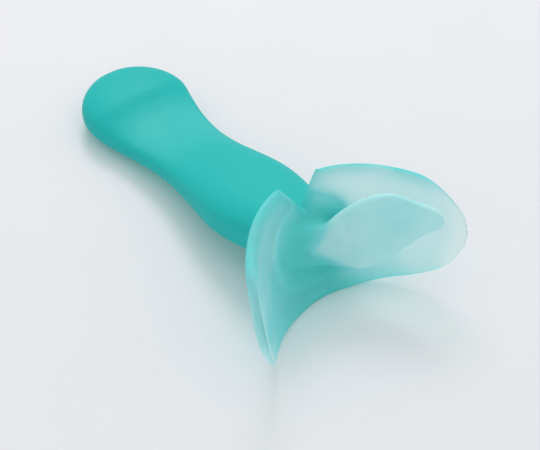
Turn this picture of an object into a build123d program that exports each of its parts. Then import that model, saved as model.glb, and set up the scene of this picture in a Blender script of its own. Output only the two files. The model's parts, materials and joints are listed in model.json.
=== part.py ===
"""Cheek retractor moulded in one piece from frosted silicone, lying on its handle and shield rim.

Frame: +X runs from the thumb end of the handle to the head, +Y to the side that carries the inner
blade, +Z up from the table. Millimetres. Station and outline values are measured from the shield's
vertex at table level, and SHIFT_X moves that datum so that the origin is under mid length.
The one moulding is cut into the regions that a person names, and they meet face to face.
"""

from build123d import *

import os
from math import hypot

# ---- driving dimensions -------------------------------------------------------------------------
SHIFT_X = 30.34           # from the shield's vertex to the middle of the overall length
SHIELD_HEIGHT = 25.5
SHIELD_WALL = 2.0
LEAN = 0.345              # the head leans back over the handle, mm per mm of height
CURVE_2 = 0.0266          # plan curve of the shield: x = CURVE_2 * y^2 + CURVE_4 * y^4
CURVE_4 = 7.3e-6
NOTCH_HALF_WIDTH = 4.65
NOTCH_BOTTOM = 18.9       # foot of the frenum notch in the shield's upper rim
HINGE_Y = 10.0            # the wings bend from here outwards
BLADE_HINGE_Y = 5.6       # and the inner blade from here
HINGE_GAP = 0.6           # slit between a stiff region and the one that bends away from it
BLADE_WALL = 1.8
HALF_WALL = SHIELD_WALL / 2
HALF_BLADE = BLADE_WALL / 2
BLADE_LEAD = 4.0          # the blade stands this far ahead of the shield at its root
BLADE_SPREAD = 0.12       # and this much further for each mm sideways
REACH = 26.0              # a little past the shield's half span
SEAM = 0.02               # keeps two regions of one wall from overlapping where curves meet
STEM_REACH = 12.0         # a little past the stem's half span
FRONT_CLEAR = 40.0        # longer than anything ahead of the shield
REST_SINK = 0.12          # the round underside is cut off this much, which makes its flat

# Handle cross-sections, all full-round slots: (x, half width, thickness, height of the middle)
THUMB_STATIONS = [
    (-76.1, 3.4, 5.2, 4.6), (-74.5, 6.9, 7.6, 4.6), (-71.5, 10.0, 8.8, 4.6), (-67.0, 11.5, 9.2, 4.6),
    (-63.5, 12.0, 8.2, 4.1), (-60.0, 11.4, 7.2, 3.9), (-56.0, 10.5, 6.7, 4.1),
]
SHANK_STATIONS = [
    (-56.0, 10.5, 6.7, 4.1), (-51.0, 9.5, 6.7, 4.7), (-45.5, 8.8, 7.0, 5.5), (-39.0, 8.8, 7.8, 6.7),
    (-33.0, 9.5, 8.9, 7.9),
]
SHOULDER_STATIONS = [
    (-33.0, 9.5, 8.9, 7.9), (-28.0, 10.2, 10.2, 8.7), (-23.0, 10.6, 11.2, 9.3), (-18.5, 10.2, 11.7, 10.0),
]
NECK_STATIONS = [
    (-18.5, 10.2, 11.7, 10.0), (-13.5, 9.2, 12.0, 11.0), (-8.5, 8.4, 12.4, 12.0), (-3.0, 7.9, 13.0, 12.9),
    (3.0, 7.8, 13.4, 13.4),
]

# Outlines seen along X, as (y, z)
WING_LOW = [(7.0, 0.0), (13.8, 1.3), (19.8, 4.2), (23.1, 9.4), (24.4, 15.8)]
WING_HIGH = [(24.4, 15.8), (23.2, 21.6), (20.4, 24.5), (14.0, 25.4), (NOTCH_HALF_WIDTH, 25.3)]
BLADE_HIGH = [(-1.9, 14.0), (3.8, 18.4), (9.3, 21.3), (14.3, 22.6), (19.0, 20.9), (19.9, 19.6)]
BLADE_LOW = [(19.9, 19.6), (18.6, 16.6), (14.1, 11.7), (9.8, 8.0), (6.2, 7.2), (2.0, 10.0), (-1.9, 14.0)]
STEM_OUTLINE = [(3.4, 9.4), (-2.4, 9.6), (-7.6, 12.2), (-8.4, 15.4), (-6.2, 17.6), (0.0, 17.0), (3.8, 14.6)]

os.makedirs("parts", exist_ok=True)


# ---- helpers --------------------------------------------------------------------------------------
def shield_lead(y):
    return 0.0


def blade_lead(y):
    return BLADE_LEAD + BLADE_SPREAD * y


def far_lead(y):
    return FRONT_CLEAR


def slit_in_y(y):
    """Half the hinge slit, measured along Y where the wall slopes."""
    return HINGE_GAP / 2 / hypot(1, 2 * CURVE_2 * y + 4 * CURVE_4 * y**3)


def wall_curve(y_from, y_to, offset, lead, steps=8):
    """Points of the plan curve, moved offset towards the hollow side of the wall."""
    points = []
    for i in range(steps + 1):
        y = y_from + (y_to - y_from) * i / steps
        slope = 2 * CURVE_2 * y + 4 * CURVE_4 * y**3
        size = hypot(1, slope)
        x = CURVE_2 * y**2 + CURVE_4 * y**4 + lead(y) + offset / size
        points.append((x + SHIFT_X, y - offset * slope / size))
    return points


def leaning_region(y_from, y_to, back, front):
    """Space between two plan curves, carried up along the lean. Each side is (offset, lead)."""
    with BuildPart() as region:
        with BuildSketch():
            with BuildLine():
                rear_line = Spline(*wall_curve(y_from, y_to, *back))
                front_line = Spline(*wall_curve(y_from, y_to, *front))
                Line(rear_line @ 0, front_line @ 0)
                Line(rear_line @ 1, front_line @ 1)
            make_face()
        extrude(amount=(SHIELD_HEIGHT + 5) * hypot(1, LEAN), dir=(-LEAN, 0, 1))
    return region.part


def shield_wall(y_from, y_to):
    return leaning_region(y_from, y_to, (-HALF_WALL, shield_lead), (HALF_WALL, shield_lead))


def blade_wall(y_from, y_to):
    return leaning_region(y_from, y_to, (-HALF_BLADE, blade_lead), (HALF_BLADE, blade_lead))


def outline_prism(*lines):
    """Closed (y, z) outline, carried along X through the whole head."""
    with BuildPart() as prism:
        with BuildSketch(Plane.YZ.offset(SHIFT_X)):
            with BuildLine():
                for line in lines:
                    if len(line) == 2:
                        Line(*line)
                    else:
                        Spline(*line)
            make_face()
        extrude(amount=FRONT_CLEAR, both=True)
    return prism.part


def handle_region(stations):
    """Loft through full-round sections across the handle."""
    with BuildPart() as region:
        for x, half_width, thickness, middle in stations:
            centre = (x + SHIFT_X, 0, middle - REST_SINK)
            with BuildSketch(Plane(centre, x_dir=(0, 1, 0), z_dir=(1, 0, 0))):
                SlotOverall(2 * half_width, thickness)
        loft()
        split(bisect_by=Plane.XY, keep=Keep.TOP)
    return region.part


def finish(part, name):
    part.label = name
    export_step(part, f"parts/{name}.step")
    box = part.bounding_box()
    print(name, "solids", len(part.solids()), "valid", part.is_valid, "volume", round(part.volume, 1),
          "x", round(box.min.X, 2), round(box.max.X, 2), "y", round(box.min.Y, 2), round(box.max.Y, 2),
          "z", round(box.min.Z, 2), round(box.max.Z, 2))


# ---- handle, in the regions that a hand names -----------------------------------------------------
with BuildPart() as thumb_rest:
    add(handle_region(THUMB_STATIONS))
finish(thumb_rest.part, "thumb_rest")

with BuildPart() as handle_shank:
    add(handle_region(SHANK_STATIONS))
finish(handle_shank.part, "handle_shank")

with BuildPart() as handle_shoulder:
    add(handle_region(SHOULDER_STATIONS))
finish(handle_shoulder.part, "handle_shoulder")

# The neck flares into the back of the shield and stops at its rear surface.
with BuildPart() as neck:
    add(handle_region(NECK_STATIONS))
    add(leaning_region(-REACH, REACH, (-HALF_WALL - SEAM, shield_lead), (0, far_lead)), mode=Mode.SUBTRACT)
finish(neck.part, "neck")

# ---- head: the notched shield that stays outside the lips -----------------------------------------
half_outline = outline_prism(
    WING_LOW, WING_HIGH, [WING_HIGH[-1], (0, NOTCH_BOTTOM)], [(0, NOTCH_BOTTOM), (0, 0)], [(0, 0), WING_LOW[0]]
)

with BuildPart() as shield_centre:
    add(half_outline)
    mirror(about=Plane.XZ)
    add(shield_wall(-HINGE_Y + slit_in_y(HINGE_Y), HINGE_Y - slit_in_y(HINGE_Y)), mode=Mode.INTERSECT)
finish(shield_centre.part, "shield_centre")

with BuildPart() as right_wing:
    add(half_outline)
    add(shield_wall(HINGE_Y + slit_in_y(HINGE_Y), REACH), mode=Mode.INTERSECT)
finish(right_wing.part, "right_wing")

with BuildPart() as left_wing:
    add(mirror(right_wing.part, about=Plane.XZ, mode=Mode.PRIVATE))
finish(left_wing.part, "left_wing")

# ---- inside the lips: the stem, and the blade that it carries on one side --------------------------
with BuildPart() as blade_stem:
    add(outline_prism(STEM_OUTLINE + STEM_OUTLINE[:1]))
    stem_front = (-HALF_BLADE - SEAM, blade_lead)
    stem_space = leaning_region(-STEM_REACH, STEM_REACH, (HALF_WALL, shield_lead), stem_front)
    add(stem_space, mode=Mode.INTERSECT)
finish(blade_stem.part, "blade_stem")

blade_outline = outline_prism(BLADE_HIGH, BLADE_LOW)

with BuildPart() as blade_root:
    add(blade_outline)
    add(blade_wall(-STEM_REACH, BLADE_HINGE_Y - slit_in_y(BLADE_HINGE_Y)), mode=Mode.INTERSECT)
finish(blade_root.part, "blade_root")

with BuildPart() as inner_blade:
    add(blade_outline)
    add(blade_wall(BLADE_HINGE_Y + slit_in_y(BLADE_HINGE_Y), REACH), mode=Mode.INTERSECT)
finish(inner_blade.part, "inner_blade")

for name, y, lead in (("wing hinge", HINGE_Y, shield_lead), ("blade hinge", BLADE_HINGE_Y, blade_lead)):
    print(name, "at table level", wall_curve(y, y + 1, 0.0, lead)[0], "direction", (-LEAN, 0, 1))
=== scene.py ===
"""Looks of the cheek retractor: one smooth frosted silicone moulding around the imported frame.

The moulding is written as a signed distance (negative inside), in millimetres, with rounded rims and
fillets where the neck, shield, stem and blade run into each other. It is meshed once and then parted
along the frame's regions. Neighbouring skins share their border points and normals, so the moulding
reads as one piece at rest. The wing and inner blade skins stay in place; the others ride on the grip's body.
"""

import json
import math

import bpy
import numpy as np
from mathutils import Matrix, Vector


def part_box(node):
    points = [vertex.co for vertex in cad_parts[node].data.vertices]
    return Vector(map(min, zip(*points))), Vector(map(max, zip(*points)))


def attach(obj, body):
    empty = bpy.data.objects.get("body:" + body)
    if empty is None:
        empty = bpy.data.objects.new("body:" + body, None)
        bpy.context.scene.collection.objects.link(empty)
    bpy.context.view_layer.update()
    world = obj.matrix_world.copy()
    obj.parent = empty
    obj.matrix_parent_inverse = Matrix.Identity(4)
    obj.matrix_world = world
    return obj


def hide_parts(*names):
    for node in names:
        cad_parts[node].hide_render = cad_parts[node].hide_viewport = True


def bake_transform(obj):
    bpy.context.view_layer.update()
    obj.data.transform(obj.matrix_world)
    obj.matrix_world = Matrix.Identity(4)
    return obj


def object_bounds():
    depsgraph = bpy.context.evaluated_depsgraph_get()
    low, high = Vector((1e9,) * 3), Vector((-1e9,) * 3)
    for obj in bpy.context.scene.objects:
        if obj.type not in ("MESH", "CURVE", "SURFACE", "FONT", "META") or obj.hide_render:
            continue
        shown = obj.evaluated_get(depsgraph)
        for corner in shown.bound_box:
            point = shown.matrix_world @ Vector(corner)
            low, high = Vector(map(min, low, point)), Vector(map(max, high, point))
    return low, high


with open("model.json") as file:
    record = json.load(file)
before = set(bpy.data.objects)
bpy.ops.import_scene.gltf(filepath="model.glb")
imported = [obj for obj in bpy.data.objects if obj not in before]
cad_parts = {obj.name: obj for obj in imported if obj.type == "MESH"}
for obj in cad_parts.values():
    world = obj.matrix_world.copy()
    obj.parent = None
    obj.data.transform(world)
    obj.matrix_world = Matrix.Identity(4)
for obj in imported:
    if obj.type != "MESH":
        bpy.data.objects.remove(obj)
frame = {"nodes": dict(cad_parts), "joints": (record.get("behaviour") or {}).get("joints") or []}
cad_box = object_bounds()

MM = 0.001
JOINTS = {joint["name"]: joint for joint in frame["joints"]}

# ---- sizes of the moulding, in millimetres --------------------------------------------------------
CURVE_2 = 0.0266              # plan curve of the shield: x = CURVE_2 * y^2 + CURVE_4 * y^4
CURVE_4 = 7.3e-6
LEAN = 0.345                  # the head leans back over the handle, mm per mm of height
SHIELD_HALF_WALL = 1.0
# The thicker wall low in the middle deepens the shield's colour there: this is partly real thickness and
# partly painted shade under the neck and the stem.
MIDDLE_EXTRA = 1.7            # the shield is this much thicker behind, low down in the middle
MIDDLE_REACH_RIGHT = 9.0      # it thins out over about this far to the blade's side
MIDDLE_REACH_LEFT = 13.0      # and this far to the other side
MIDDLE_LOW = 9.0              # and upwards between these two heights
MIDDLE_HIGH = 17.0
BLADE_HALF_WALL = 0.9
RIM_ROUND = 0.88              # edge radius of the shield and of the blade
BLADE_LEAD = 4.0              # the blade stands this far ahead of the shield at its root
BLADE_SPREAD = 0.12           # and this much further for each mm sideways
NECK_FILLET = 2.6
STEM_FILLET = 2.6
STEM_LOW = 2.2                # how far ahead the stem's low side stands, away from the blade
STEM_SLOPE_FROM = 9.0         # it rises to the blade from y = -9
STEM_SLOPE_LENGTH = 11.0
STEM_ROUND = 1.2
BLADE_LOOKS_THICK = 1.6       # the stem behind the blade's root hardly shows through its frosted face
BLADE_MILKY = 4.0             # the blade hides what is behind it as a wall of this thickness does
FRONT_LOOKS_THICK = 3.8       # and the neck not much more through the shield's
SOFT_ROUNDS = 34              # how far the colour of thick places runs into thin ones
HIDING_ROUNDS = 80            # and how far they hide what is behind
RIM_ROUNDS = 3                # the same, close to the rims
RIM_SHARE = 0.42              # how much of the deeper colour stays within the narrow rims
RIM_HIDING = 0.75             # and how much of what hides the background
CELL = 0.42                   # size of the meshing grid
GRID_MARGIN = 1.5             # the grid reaches this far past the frame's box
WALL_THIN = 1.5               # thickness that has the palest colour and hides the least
WALL_THICK = 8.0              # and the one that has the deepest and hides the most

# Outlines seen along X, as (y, z); the shield's is mirrored about its mid plane
SHIELD_OUTLINE = [
    (0.0, 18.9), (4.2, 25.0), (5.6, 25.4), (11.6, 25.45), (17.1, 25.1), (21.5, 24.0), (23.9, 19.9),
    (24.4, 15.8), (23.6, 11.2), (21.2, 5.9), (17.1, 2.7), (12.0, 1.2), (6.5, 0.1), (0.0, 0.0),
]
BLADE_OUTLINE = [
    (-2.6, 13.6), (0.2, 16.0), (3.8, 18.5), (9.3, 21.3), (13.8, 22.7), (17.2, 21.6), (19.7, 20.5),
    (19.4, 17.6), (16.7, 14.6), (13.2, 10.7), (9.8, 8.0), (6.4, 7.2), (3.0, 9.0), (-0.4, 12.0),
]
STEM_OUTLINE = [
    (3.4, 9.2), (0.4, 8.8), (-2.8, 9.6), (-6.2, 11.2), (-8.1, 13.6), (-7.9, 16.2), (-5.8, 17.6),
    (-2.4, 17.3), (1.2, 16.4), (3.8, 14.4),
]

# Handle sections, measured from the shield's vertex: x, half width, half thickness, height of the middle
HANDLE = [
    (-64.6, 12.2, 4.60, 4.55), (-60.0, 11.45, 4.05, 4.10), (-56.0, 10.5, 3.60, 4.15),
    (-51.0, 9.5, 3.40, 4.65), (-45.5, 8.8, 3.50, 5.50), (-39.0, 8.8, 3.90, 6.70),
    (-33.0, 9.5, 4.45, 7.90), (-28.0, 10.2, 5.10, 8.70), (-23.0, 10.6, 5.60, 9.30),
    (-18.5, 10.2, 5.85, 10.00), (-13.5, 9.2, 6.00, 11.00), (-8.5, 8.3, 6.10, 11.90),
    (-3.0, 7.5, 5.90, 12.40), (3.0, 7.2, 5.80, 12.60),
]
THUMB_ARC = 11.8              # length of the rounded thumb end past the first section
THUMB_DOME = 0.3              # how bluntly its thickness falls to the end: 0.5 is an ellipse
SECTION_POWER = 2.6           # section across the handle, between an ellipse (2) and a box
UNDERSIDE_SINK = 0.12         # the underside is cut off this much, which makes the flat it rests on

# ---- places taken from the frame ------------------------------------------------------------------
WING_HINGE_X = JOINTS["right_wing_flex"]["pos_m"][0] / MM
WING_HINGE_Y = JOINTS["right_wing_flex"]["pos_m"][1] / MM
BLADE_HINGE_Y = JOINTS["blade_flex"]["pos_m"][1] / MM


def node_limit(node, axis, high=False):
    """Lowest or highest coordinate of a frame node, in millimetres."""
    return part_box(node)[1 if high else 0][axis] / MM


def plan_curve(y):
    """How far ahead of its vertex the shield stands at y."""
    return CURVE_2 * y**2 + CURVE_4 * y**4


VERTEX_X = WING_HINGE_X - plan_curve(WING_HINGE_Y)
THUMB_END = node_limit("thumb_rest", 0, high=True) - VERTEX_X
SHANK_END = node_limit("handle_shank", 0, high=True) - VERTEX_X
SHOULDER_END = node_limit("handle_shoulder", 0, high=True) - VERTEX_X


# ---- outlines, as distance maps in the shield's developed surface ------------------------------------
def arc_length(y):
    """Length along the plan curve from the mid plane to y."""
    steps = np.linspace(0, 30, 601)
    slope = 2 * CURVE_2 * steps + 4 * CURVE_4 * steps**3
    speed = np.hypot(1, slope)
    length = np.concatenate([[0], np.cumsum((speed[1:] + speed[:-1]) / 2 * np.diff(steps))])
    return np.sign(y) * np.interp(np.abs(y), steps, length)


def catmull_rom(before, here, after, last, t):
    """Place at share t of the way from here to after, on a smooth curve through all four points."""
    return 0.5 * (
        2 * here + (after - before) * t + (2 * before - 5 * here + 4 * after - last) * t**2
        + (3 * here - before - 3 * after + last) * t**3
    )


def smooth_closed(points, per_span=8):
    """Smooth curve through a closed list of points."""
    points = np.array(points, float)
    before, after, last = np.roll(points, 1, 0), np.roll(points, -1, 0), np.roll(points, -2, 0)
    shares = np.linspace(0, 1, per_span, endpoint=False)
    return np.stack([catmull_rom(before, points, after, last, t) for t in shares], 1).reshape(-1, 2)


def smooth_open(points, per_span=8):
    """Smooth curve through an open list of points, from the first to the last."""
    points = np.array(points, float)
    padded = np.concatenate([[2 * points[0] - points[1]], points, [2 * points[-1] - points[-2]]])
    shares = np.linspace(0, 1, per_span, endpoint=False)
    spans = zip(padded, padded[1:], padded[2:], padded[3:])
    return np.array([catmull_rom(*span, t) for span in spans for t in shares] + [points[-1]])


def mirrored_half(points):
    """Whole shield outline from its right half: the notch and the foot stay sharp in the middle."""
    right = smooth_open(points)
    return np.concatenate([right, (right * [-1, 1])[-2:0:-1]])


def polygon_distance(across, up, polygon):
    """Signed distance from points to a closed polygon, negative inside."""
    nearest = np.full(across.shape, 1e9)
    inside = np.zeros(across.shape, bool)
    for (a0, b0), (a1, b1) in zip(polygon, np.roll(polygon, -1, 0)):
        da, db = a1 - a0, b1 - b0
        t = np.clip(((across - a0) * da + (up - b0) * db) / (da * da + db * db + 1e-12), 0, 1)
        nearest = np.minimum(nearest, (across - a0 - t * da) ** 2 + (up - b0 - t * db) ** 2)
        crosses = (b0 > up) != (b1 > up)
        with np.errstate(divide="ignore", invalid="ignore"):
            inside ^= crosses & (across < a0 + (up - b0) * da / (db if db else 1e-12))
    return np.where(inside, -1, 1) * np.sqrt(nearest)


class Outline:
    """A smooth outline as a table of distances over the developed surface, read by interpolation."""

    PITCH = 0.1
    ACROSS = np.arange(-44, 44.1, PITCH)
    UP = np.arange(-6, 34.1, PITCH)

    def __init__(self, curve):
        developed = np.column_stack([arc_length(curve[:, 0]), curve[:, 1]])
        across, up = np.meshgrid(self.ACROSS, self.UP, indexing="ij")
        self.table = polygon_distance(across, up, developed)

    def __call__(self, y, z):
        i = np.clip((arc_length(y) - self.ACROSS[0]) / self.PITCH, 0, len(self.ACROSS) - 1.001)
        j = np.clip((z - self.UP[0]) / self.PITCH, 0, len(self.UP) - 1.001)
        i0, j0 = i.astype(int), j.astype(int)
        u, v = i - i0, j - j0
        t = self.table
        low = t[i0, j0] * (1 - u) + t[i0 + 1, j0] * u
        high = t[i0, j0 + 1] * (1 - u) + t[i0 + 1, j0 + 1] * u
        return low * (1 - v) + high * v


shield_outline = Outline(mirrored_half(SHIELD_OUTLINE))
blade_outline = Outline(smooth_closed(BLADE_OUTLINE))
stem_outline = Outline(smooth_closed(STEM_OUTLINE))


# ---- the moulding as a signed distance ---------------------------------------------------------------
def smooth_union(a, b, radius):
    """Distance to both shapes together, with a fillet of about this radius between them."""
    blend = np.clip(0.5 + 0.5 * (b - a) / radius, 0, 1)
    return b + (a - b) * blend - radius * blend * (1 - blend)


def rounded_plate(from_middle, outline, half_wall, rounding):
    """Plate of even wall with rounded rims, from the distance to its middle and to its outline."""
    over = from_middle - (half_wall - rounding)
    past = outline + rounding
    outside = np.hypot(np.maximum(over, 0), np.maximum(past, 0))
    return outside + np.minimum(np.maximum(over, past), 0) - rounding


def ahead_of_shield(x, y, z):
    """Distance ahead of the shield's middle surface, square to its plan curve."""
    slope = 2 * CURVE_2 * y + 4 * CURVE_4 * y**3
    return (x + LEAN * z - plan_curve(y)) / np.hypot(1, slope)


def middle_extra(y, z):
    """How much thicker than its rims the shield is; the deeper colour this gives low in the middle is partly
    painted shade.
    """
    fall = np.clip((MIDDLE_HIGH - z) / (MIDDLE_HIGH - MIDDLE_LOW), 0, 1)
    reach = np.where(y > 0, MIDDLE_REACH_RIGHT, MIDDLE_REACH_LEFT)
    return MIDDLE_EXTRA * np.exp(-((y / reach) ** 2)) * fall**2 * (3 - 2 * fall)


def blade_gap(y):
    """How far ahead of the shield's middle surface the blade's own stands."""
    slope = 2 * CURVE_2 * y + 4 * CURVE_4 * y**3
    return (BLADE_LEAD + BLADE_SPREAD * y) / np.hypot(1, slope)


def soft_interpolate(x, knots, values):
    """Smooth curve through the values at the knots, level at the first one."""
    tangents = np.gradient(values, knots)
    tangents[0] = 0
    i = np.clip(np.searchsorted(knots, x) - 1, 0, len(knots) - 2)
    width = knots[i + 1] - knots[i]
    t = np.clip((x - knots[i]) / width, 0, 1)
    a, b = values[i], values[i + 1]
    return (
        (2 * t**3 - 3 * t**2 + 1) * a + (t**3 - 2 * t**2 + t) * width * tangents[i]
        + (-2 * t**3 + 3 * t**2) * b + (t**3 - t**2) * width * tangents[i + 1]
    )


def handle(x, y, z):
    """Distance to the handle: superellipse sections along X, with a rounded thumb end."""
    stations = np.array(HANDLE)
    knots = stations[:, 0]
    half_width, half_thick, middle = (soft_interpolate(x, knots, stations[:, i]) for i in (1, 2, 3))
    end = np.clip((knots[0] - x) / THUMB_ARC, 0, 0.9995)
    half_width = half_width * np.sqrt(1 - end**2)
    half_thick = half_thick * (1 - end**2) ** THUMB_DOME
    across, up = np.abs(y) / half_width, np.abs(z - middle + UNDERSIDE_SINK) / half_thick
    reach = np.maximum((across**SECTION_POWER + up**SECTION_POWER) ** (1 / SECTION_POWER), 1e-3)
    steepness = np.hypot(
        (across / reach) ** (SECTION_POWER - 1) / half_width, (up / reach) ** (SECTION_POWER - 1) / half_thick
    )
    past_end = knots[0] - THUMB_ARC - x
    return np.maximum((reach - 1) / steepness, past_end)


def moulding(points):
    """Distance to the whole moulding: shield, neck and handle, stem and blade."""
    x, y, z = points[..., 0] - VERTEX_X, points[..., 1], points[..., 2]
    ahead = ahead_of_shield(x, y, z)
    shield_rim = shield_outline(y, z)
    # The extra wall deepens the colour low in the middle, which is partly painted shade.
    extra = middle_extra(y, z) / 2
    shield = rounded_plate(np.abs(ahead + extra), shield_rim, SHIELD_HALF_WALL + extra, RIM_ROUND)
    neck = np.maximum(handle(x, y, z), ahead)
    gap = blade_gap(y)
    blade = rounded_plate(np.abs(ahead - gap), blade_outline(y, z), BLADE_HALF_WALL, RIM_ROUND)
    reach = STEM_LOW + (gap - STEM_LOW) * np.clip((y + STEM_SLOPE_FROM) / STEM_SLOPE_LENGTH, 0, 1)
    stem = rounded_plate(np.abs(ahead - reach / 2), stem_outline(y, z), reach / 2, STEM_ROUND)
    whole = smooth_union(shield, neck, NECK_FILLET)
    inside_lips = smooth_union(stem, blade, STEM_FILLET)
    whole = smooth_union(whole, inside_lips, STEM_FILLET)
    return np.maximum(whole, -z)


# ---- meshing ----------------------------------------------------------------------------------------
def surface_net(field, low, cell):
    """Quads through the sign changes of a grid of values: (points, quads)."""
    inside = field < 0
    shape = np.array(field.shape)
    total = np.zeros((*(shape - 1), 3))
    count = np.zeros(shape - 1)
    base = np.stack(np.meshgrid(*[np.arange(n - 1) for n in shape], indexing="ij"), -1).astype(float)
    corners = [(i, j, k) for i in (0, 1) for j in (0, 1) for k in (0, 1)]

    def at(values, corner):
        return values[tuple(slice(c, n - 1 + c) for c, n in zip(corner, shape))]

    for corner in corners:
        for axis in range(3):
            if corner[axis]:
                continue
            other = tuple(1 if a == axis else c for a, c in enumerate(corner))
            f0, f1 = at(field, corner), at(field, other)
            crossing = at(inside, corner) != at(inside, other)
            with np.errstate(divide="ignore", invalid="ignore"):
                t = np.where(crossing, f0 / (f0 - f1), 0)
            step = np.array(corner, float)
            move = np.zeros(3)
            move[axis] = 1
            total += crossing[..., None] * (base + step + t[..., None] * move)
            count += crossing
    used = count > 0
    number = np.full(used.shape, -1)
    number[used] = np.arange(used.sum())
    points = total[used] / count[used][:, None] * cell + low
    quads = []
    for axis in range(3):
        u, v = (axis + 1) % 3, (axis + 2) % 3
        near = [slice(1, -1)] * 3
        near[axis] = slice(0, -1)
        far = list(near)
        far[axis] = slice(1, None)
        a, b = inside[tuple(near)], inside[tuple(far)]
        for change, flip in ((a & ~b, False), (~a & b, True)):
            index = np.argwhere(change)
            offset = np.ones(3, int)
            offset[axis] = 0
            index = index + offset
            around = []
            for du, dv in ((1, 1), (0, 1), (0, 0), (1, 0)):
                cell_index = index.copy()
                cell_index[:, u] -= du
                cell_index[:, v] -= dv
                around.append(number[tuple(cell_index.T)])
            quad = np.stack(around, 1)
            quads.append(quad[:, ::-1] if flip else quad)
    return points, np.concatenate(quads)


def slope_at(points, reach=0.06):
    """Unit normals of the moulding at points, and the distance's steepness."""
    moves = np.eye(3) * reach
    gradient = np.stack([moulding(points + m) - moulding(points - m) for m in moves], -1) / (2 * reach)
    size = np.linalg.norm(gradient, axis=-1, keepdims=True)
    return gradient / np.maximum(size, 1e-6), np.maximum(size[:, 0], 0.25)


def relax(points, quads, share=0.5):
    """Moves each point towards the middle of its neighbours."""
    total = np.zeros_like(points)
    count = np.zeros(len(points))
    for a, b in ((0, 1), (1, 2), (2, 3), (3, 0)):
        for here, there in ((a, b), (b, a)):
            np.add.at(total, quads[:, here], points[quads[:, there]])
            np.add.at(count, quads[:, here], 1)
    return points + share * (total / count[:, None] - points)


def settle(points, quads, rounds=3):
    """Evens out the mesh and puts every point back on the moulding's surface."""
    for _ in range(rounds):
        points = relax(points, quads)
        for _ in range(2):
            normal, steepness = slope_at(points)
            points = points - normal * np.clip(moulding(points) / steepness, -0.4, 0.4)[:, None]
    return points


def wall_behind(points, normals, step=0.25, most=12.0):
    """Thickness of silicone under each point, measured straight inwards."""
    thickness = np.full(len(points), most)
    for depth in np.arange(most, 0, -step):
        out = moulding(points - normals * depth) > 0
        thickness[out] = depth
    return thickness


def spread(values, quads, rounds):
    """Softens a value over the surface, as light does inside silicone."""
    for _ in range(rounds):
        values = relax(values[:, None], quads, 0.7)[:, 0]
    return values


low = np.array([cad_box[0][i] for i in range(3)]) / MM - GRID_MARGIN
high = np.array([cad_box[1][i] for i in range(3)]) / MM + GRID_MARGIN
axes = [np.arange(low[i], high[i] + CELL, CELL) for i in range(3)]
grid = np.stack(np.meshgrid(*axes, indexing="ij"), -1)
points, quads = surface_net(moulding(grid), low, CELL)
points = settle(points, quads)
points[:, 2] = np.maximum(points[:, 2], 0)
normals = slope_at(points)[0]
depth = wall_behind(points, normals)
solid = np.maximum(spread(depth, quads, HIDING_ROUNDS), RIM_HIDING * spread(depth, quads, RIM_ROUNDS))

# Frosted faces ahead of the shield hide how thick the stem and the neck are behind them.
x_points = points[:, 0] - VERTEX_X
ahead_points = ahead_of_shield(x_points, points[:, 1], points[:, 2])
behind_blade = blade_gap(points[:, 1]) - BLADE_HALF_WALL - 0.3
on_blade = (ahead_points > behind_blade) & (blade_outline(points[:, 1], points[:, 2]) < 0.4)
solid = spread(np.where(on_blade, np.maximum(solid, BLADE_MILKY), solid), quads, RIM_ROUNDS)
seen = np.where(ahead_points > 0, np.minimum(depth, FRONT_LOOKS_THICK), depth)
seen = np.where(on_blade, np.minimum(depth, BLADE_LOOKS_THICK), seen)
wall = np.maximum(spread(seen, quads, SOFT_ROUNDS), RIM_SHARE * spread(seen, quads, RIM_ROUNDS))


# ---- regions: one skin per frame node ---------------------------------------------------------------
BEHIND_BY = 0.35              # a place is behind the shield when it is this far past its back
AHEAD_BY = 0.25               # and ahead of it when it is this far past its front
NEAR_OUTLINE = 0.3            # a place this close to the neck or the blade belongs to it
NEAR_STEM = 0.8
NEAR_ROOT = 0.05
ROOT_DEPTH = 0.2              # the blade's root reaches this far behind the blade's back
HINGE_LEAD = 1                # a bending region starts this far before its hinge line, before its bend does


def region_of(centres):
    """Name of the frame node that each place on the surface belongs to."""
    x, y, z = centres[:, 0] - VERTEX_X, centres[:, 1], centres[:, 2]
    ahead = ahead_of_shield(x, y, z)
    gap = blade_gap(y)
    behind = ahead < -SHIELD_HALF_WALL - BEHIND_BY - middle_extra(y, z)
    in_front = ahead > np.maximum(SHIELD_HALF_WALL + AHEAD_BY, gap / 2)
    name = np.full(len(centres), "shield_centre", dtype=object)
    name[y > WING_HINGE_Y - HINGE_LEAD] = "right_wing"
    name[y < HINGE_LEAD - WING_HINGE_Y] = "left_wing"
    name[behind & (x < plan_curve(y) - LEAN * z) & (handle(x, y, z) < NEAR_OUTLINE)] = "neck"
    name[behind & (x < SHOULDER_END)] = "handle_shoulder"
    name[behind & (x < SHANK_END)] = "handle_shank"
    name[behind & (x < THUMB_END)] = "thumb_rest"
    from_blade = blade_outline(y, z)
    in_lips = in_front & ((from_blade < NEAR_OUTLINE) | (stem_outline(y, z) < NEAR_STEM))
    on_root = (from_blade < NEAR_ROOT) & (ahead > gap - BLADE_HALF_WALL - ROOT_DEPTH)
    name[in_lips] = "blade_stem"
    name[in_lips & on_root] = "blade_root"
    name[in_lips & (y > BLADE_HINGE_Y - HINGE_LEAD) & (from_blade < NEAR_OUTLINE)] = "inner_blade"
    return name


# Bend ranges, from a little before each hinge line to a little past it; only the names are read here, to keep
# these skins off the grip.
BEND_BEFORE = 0.8
BEND_AFTER = 2.4
BENDS = {
    "right_wing": ("right_wing", WING_HINGE_Y - BEND_BEFORE, WING_HINGE_Y + BEND_AFTER),
    "left_wing": ("left_wing", BEND_BEFORE - WING_HINGE_Y, -BEND_AFTER - WING_HINGE_Y),
    "inner_blade": ("inner_blade", BLADE_HINGE_Y - BEND_BEFORE, BLADE_HINGE_Y + BEND_AFTER),
}


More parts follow.
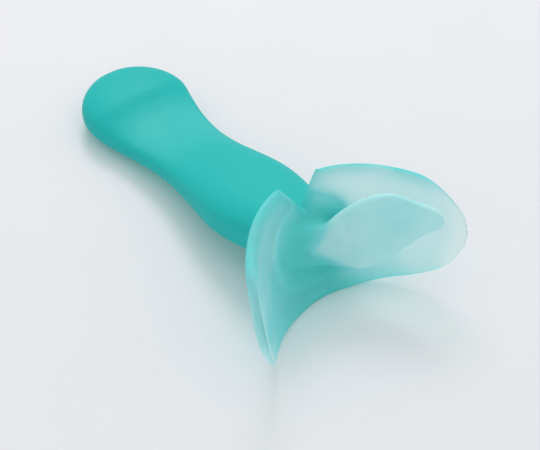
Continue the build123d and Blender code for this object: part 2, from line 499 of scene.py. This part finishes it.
# ---- frosted silicone -------------------------------------------------------------------------------
def silicone():
    """Frosted turquoise silicone: pale and see-through where the wall is thin, deep where it is thick."""
    material = bpy.data.materials.new("frosted_silicone")
    material.use_nodes = True
    tree = material.node_tree
    tree.nodes.clear()
    link = tree.links.new

    def node(kind, **settings):
        made = tree.nodes.new(kind)
        for key, value in settings.items():
            setattr(made, key, value)
        return made

    wall_node = node("ShaderNodeAttribute", attribute_name="wall")
    coordinates = node("ShaderNodeTexCoord")

    mottle = node("ShaderNodeTexNoise")
    mottle.inputs["Scale"].default_value = 160
    mottle.inputs["Detail"].default_value = 3
    link(coordinates.outputs["Object"], mottle.inputs["Vector"])
    shift = node("ShaderNodeMapRange")
    shift.inputs["To Min"].default_value = -0.35
    shift.inputs["To Max"].default_value = 0.35
    link(mottle.outputs["Fac"], shift.inputs["Value"])
    uneven = node("ShaderNodeMath", operation="ADD")
    link(wall_node.outputs["Fac"], uneven.inputs[0])
    link(shift.outputs["Result"], uneven.inputs[1])
    share = node("ShaderNodeMapRange")
    share.inputs["From Min"].default_value = WALL_THIN
    share.inputs["From Max"].default_value = WALL_THICK
    link(uneven.outputs["Value"], share.inputs["Value"])

    colour = node("ShaderNodeValToRGB")
    colour.color_ramp.elements[0].color = (0.66, 0.97, 0.98, 1)
    colour.color_ramp.elements[1].color = (0.024, 0.61, 0.585, 1)
    colour.color_ramp.elements.new(0.12).color = (0.28, 0.83, 0.85, 1)
    colour.color_ramp.elements.new(0.35).color = (0.12, 0.73, 0.70, 1)
    link(share.outputs["Result"], colour.inputs["Fac"])
    cover = node("ShaderNodeValToRGB")
    cover.color_ramp.elements[0].color = (0.10, 0.10, 0.10, 1)
    cover.color_ramp.elements[1].color = (1, 1, 1, 1)
    cover.color_ramp.elements[1].position = 0.46
    solid_node = node("ShaderNodeAttribute", attribute_name="solid")
    solid_share = node("ShaderNodeMapRange")
    solid_share.inputs["From Min"].default_value = WALL_THIN
    solid_share.inputs["From Max"].default_value = WALL_THICK
    link(solid_node.outputs["Fac"], solid_share.inputs["Value"])
    link(solid_share.outputs["Result"], cover.inputs["Fac"])
    glancing = node("ShaderNodeLayerWeight")
    glancing.inputs["Blend"].default_value = 0.35
    opaque = node("ShaderNodeMath", operation="ADD", use_clamp=True)
    edge_on = node("ShaderNodeMath", operation="POWER")
    edge_on.inputs[1].default_value = 1.6
    edge_share = node("ShaderNodeMath", operation="MULTIPLY")
    edge_share.inputs[1].default_value = 1.0
    link(glancing.outputs["Facing"], edge_on.inputs[0])
    link(edge_on.outputs["Value"], edge_share.inputs[0])
    link(cover.outputs["Color"], opaque.inputs[0])
    link(edge_share.outputs["Value"], opaque.inputs[1])

    grain = node("ShaderNodeTexNoise")
    grain.inputs["Scale"].default_value = 4200
    grain.inputs["Detail"].default_value = 2
    link(coordinates.outputs["Object"], grain.inputs["Vector"])
    bump = node("ShaderNodeBump")
    bump.inputs["Strength"].default_value = 0.12
    bump.inputs["Distance"].default_value = 0.00005
    link(grain.outputs["Fac"], bump.inputs["Height"])
    satin = node("ShaderNodeMapRange")
    satin.inputs["To Min"].default_value = 0.40
    satin.inputs["To Max"].default_value = 0.50
    link(mottle.outputs["Fac"], satin.inputs["Value"])

    skin = node("ShaderNodeBsdfPrincipled")
    skin.inputs["IOR"].default_value = 1.41
    skin.inputs["Specular IOR Level"].default_value = 0.22
    link(colour.outputs["Color"], skin.inputs["Base Color"])
    link(satin.outputs["Result"], skin.inputs["Roughness"])
    link(bump.outputs["Normal"], skin.inputs["Normal"])
    glow = node("ShaderNodeBsdfTranslucent")
    link(colour.outputs["Color"], glow.inputs["Color"])
    milky = node("ShaderNodeMixShader")
    milky.inputs["Fac"].default_value = 0.25
    link(skin.outputs["BSDF"], milky.inputs[1])
    link(glow.outputs["BSDF"], milky.inputs[2])
    frosted = node("ShaderNodeBsdfRefraction")
    frosted.inputs["Color"].default_value = (0.97, 0.985, 0.975, 1)
    frosted.inputs["Roughness"].default_value = 0.45
    frosted.inputs["IOR"].default_value = 1.02
    mixed = node("ShaderNodeMixShader")
    link(opaque.outputs["Value"], mixed.inputs["Fac"])
    link(frosted.outputs["BSDF"], mixed.inputs[1])
    link(milky.outputs["Shader"], mixed.inputs[2])

    shade_tint = node("ShaderNodeValToRGB")
    shade_tint.color_ramp.elements[0].color = (0.52, 0.70, 0.64, 1)
    shade_tint.color_ramp.elements[1].color = (0.16, 0.42, 0.37, 1)
    link(solid_share.outputs["Result"], shade_tint.inputs["Fac"])
    lets_lamps_through = node("ShaderNodeBsdfTransparent")
    link(shade_tint.outputs["Color"], lets_lamps_through.inputs["Color"])
    rays = node("ShaderNodeLightPath")
    whole = node("ShaderNodeMixShader")
    link(rays.outputs["Is Shadow Ray"], whole.inputs["Fac"])
    link(mixed.outputs["Shader"], whole.inputs[1])
    link(lets_lamps_through.outputs["BSDF"], whole.inputs[2])
    output = node("ShaderNodeOutputMaterial")
    link(whole.outputs["Shader"], output.inputs["Surface"])
    return material


def build_skins(material):
    """One skin per frame node, with shared border points and normals; the wing and inner blade skins stay in
    place and the others ride on the grip's body.
    """
    region = region_of(points[quads].mean(1))
    for name in frame["nodes"]:
        faces = quads[region == name]
        used, faces = np.unique(faces, return_inverse=True)
        faces = faces.reshape(-1, 4)
        mesh = bpy.data.meshes.new(name + "_skin")
        mesh.from_pydata((points[used] * MM).tolist(), [], faces.tolist())
        mesh.materials.append(material)
        for label, values in (("wall", wall), ("solid", solid)):
            attribute = mesh.attributes.new(label, "FLOAT", "POINT")
            attribute.data.foreach_set("value", values[used].astype(np.float32))
        mesh.polygons.foreach_set("use_smooth", [True] * len(mesh.polygons))
        mesh.normals_split_custom_set_from_vertices(normals[used].tolist())
        mesh.update()
        skin = bpy.data.objects.new(name + "_skin", mesh)
        bpy.context.scene.collection.objects.link(skin)
        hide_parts(name)
        if name in BENDS:
            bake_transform(skin)
        else:
            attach(skin, "grip")


build_skins(silicone())


# ---- studio -----------------------------------------------------------------------------------------
def floor_material():
    """Plain pale table top, very slightly uneven in tone."""
    material = bpy.data.materials.new("pale_table")
    material.use_nodes = True
    tree = material.node_tree
    shader = tree.nodes["Principled BSDF"]
    shader.inputs["Roughness"].default_value = 0.55
    shader.inputs["IOR"].default_value = 1.3
    shader.inputs["Specular IOR Level"].default_value = 0.1
    noise = tree.nodes.new("ShaderNodeTexNoise")
    noise.inputs["Scale"].default_value = 40
    ramp = tree.nodes.new("ShaderNodeValToRGB")
    ramp.color_ramp.elements[0].color = (0.79, 0.797, 0.82, 1)
    ramp.color_ramp.elements[1].color = (0.82, 0.827, 0.85, 1)
    coordinates = tree.nodes.new("ShaderNodeTexCoord")
    tree.links.new(coordinates.outputs["Object"], noise.inputs["Vector"])
    tree.links.new(noise.outputs["Fac"], ramp.inputs["Fac"])
    tree.links.new(ramp.outputs["Color"], shader.inputs["Base Color"])
    return material


def make_floor():
    """Flat square that the object lies on."""
    mesh = bpy.data.meshes.new("table_top")
    reach = 1.5
    corners = [(-reach, -reach, 0), (reach, -reach, 0), (reach, reach, 0), (-reach, reach, 0)]
    mesh.from_pydata(corners, [], [(0, 1, 2, 3)])
    mesh.materials.append(floor_material())
    floor = bpy.data.objects.new("table_top", mesh)
    bpy.context.scene.collection.objects.link(floor)


def make_lamp(name, place, size, watts):
    """Round area lamp, aimed at the object."""
    data = bpy.data.lights.new(name, "AREA")
    data.shape = "DISK"
    data.size = size
    data.energy = watts
    lamp = bpy.data.objects.new(name, data)
    lamp.location = place
    aim = -lamp.location
    lamp.rotation_mode = "QUATERNION"
    lamp.rotation_quaternion = aim.to_track_quat("-Z", "Y")
    bpy.context.scene.collection.objects.link(lamp)


def make_camera():
    """Camera 300 mm from the shield's foot, over the inner side, with the object lying as it was set down."""
    turn, rise, distance, roll = -0.6668, 0.7885, 300.0, 0.0230
    aside, above = -9.8905, 14.1803
    back = np.array([math.cos(rise) * math.cos(turn), math.cos(rise) * math.sin(turn), math.sin(rise)])
    right = np.cross(-back, [0, 0, 1])
    right /= np.linalg.norm(right)
    up = np.cross(right, -back)
    right, up = right * math.cos(roll) + up * math.sin(roll), up * math.cos(roll) - right * math.sin(roll)
    place = (distance * back + aside * right + above * up + [VERTEX_X, 0, 0]) * MM
    data = bpy.data.cameras.new("camera")
    data.sensor_width = 36
    data.lens = 100.9
    data.clip_start = 0.01
    camera = bpy.data.objects.new("camera", data)
    camera.matrix_world = Matrix([[right[i], up[i], back[i], place[i]] for i in range(3)] + [[0, 0, 0, 1]])
    bpy.context.scene.collection.objects.link(camera)
    bpy.context.scene.camera = camera


def make_world():
    """Even light from all round."""
    world = bpy.data.worlds.new("studio")
    world.use_nodes = True
    background = world.node_tree.nodes["Background"]
    background.inputs["Color"].default_value = (0.98, 0.985, 1, 1)
    background.inputs["Strength"].default_value = 0.69
    bpy.context.scene.world = world


make_floor()
make_camera()
make_world()
make_lamp("overhead", (0.00, 0.10, 0.90), 0.9, 1.2)
make_lamp("window", (-0.54, 0.32, 0.66), 0.34, 2.6)
bpy.context.scene.view_settings.view_transform = "Standard"
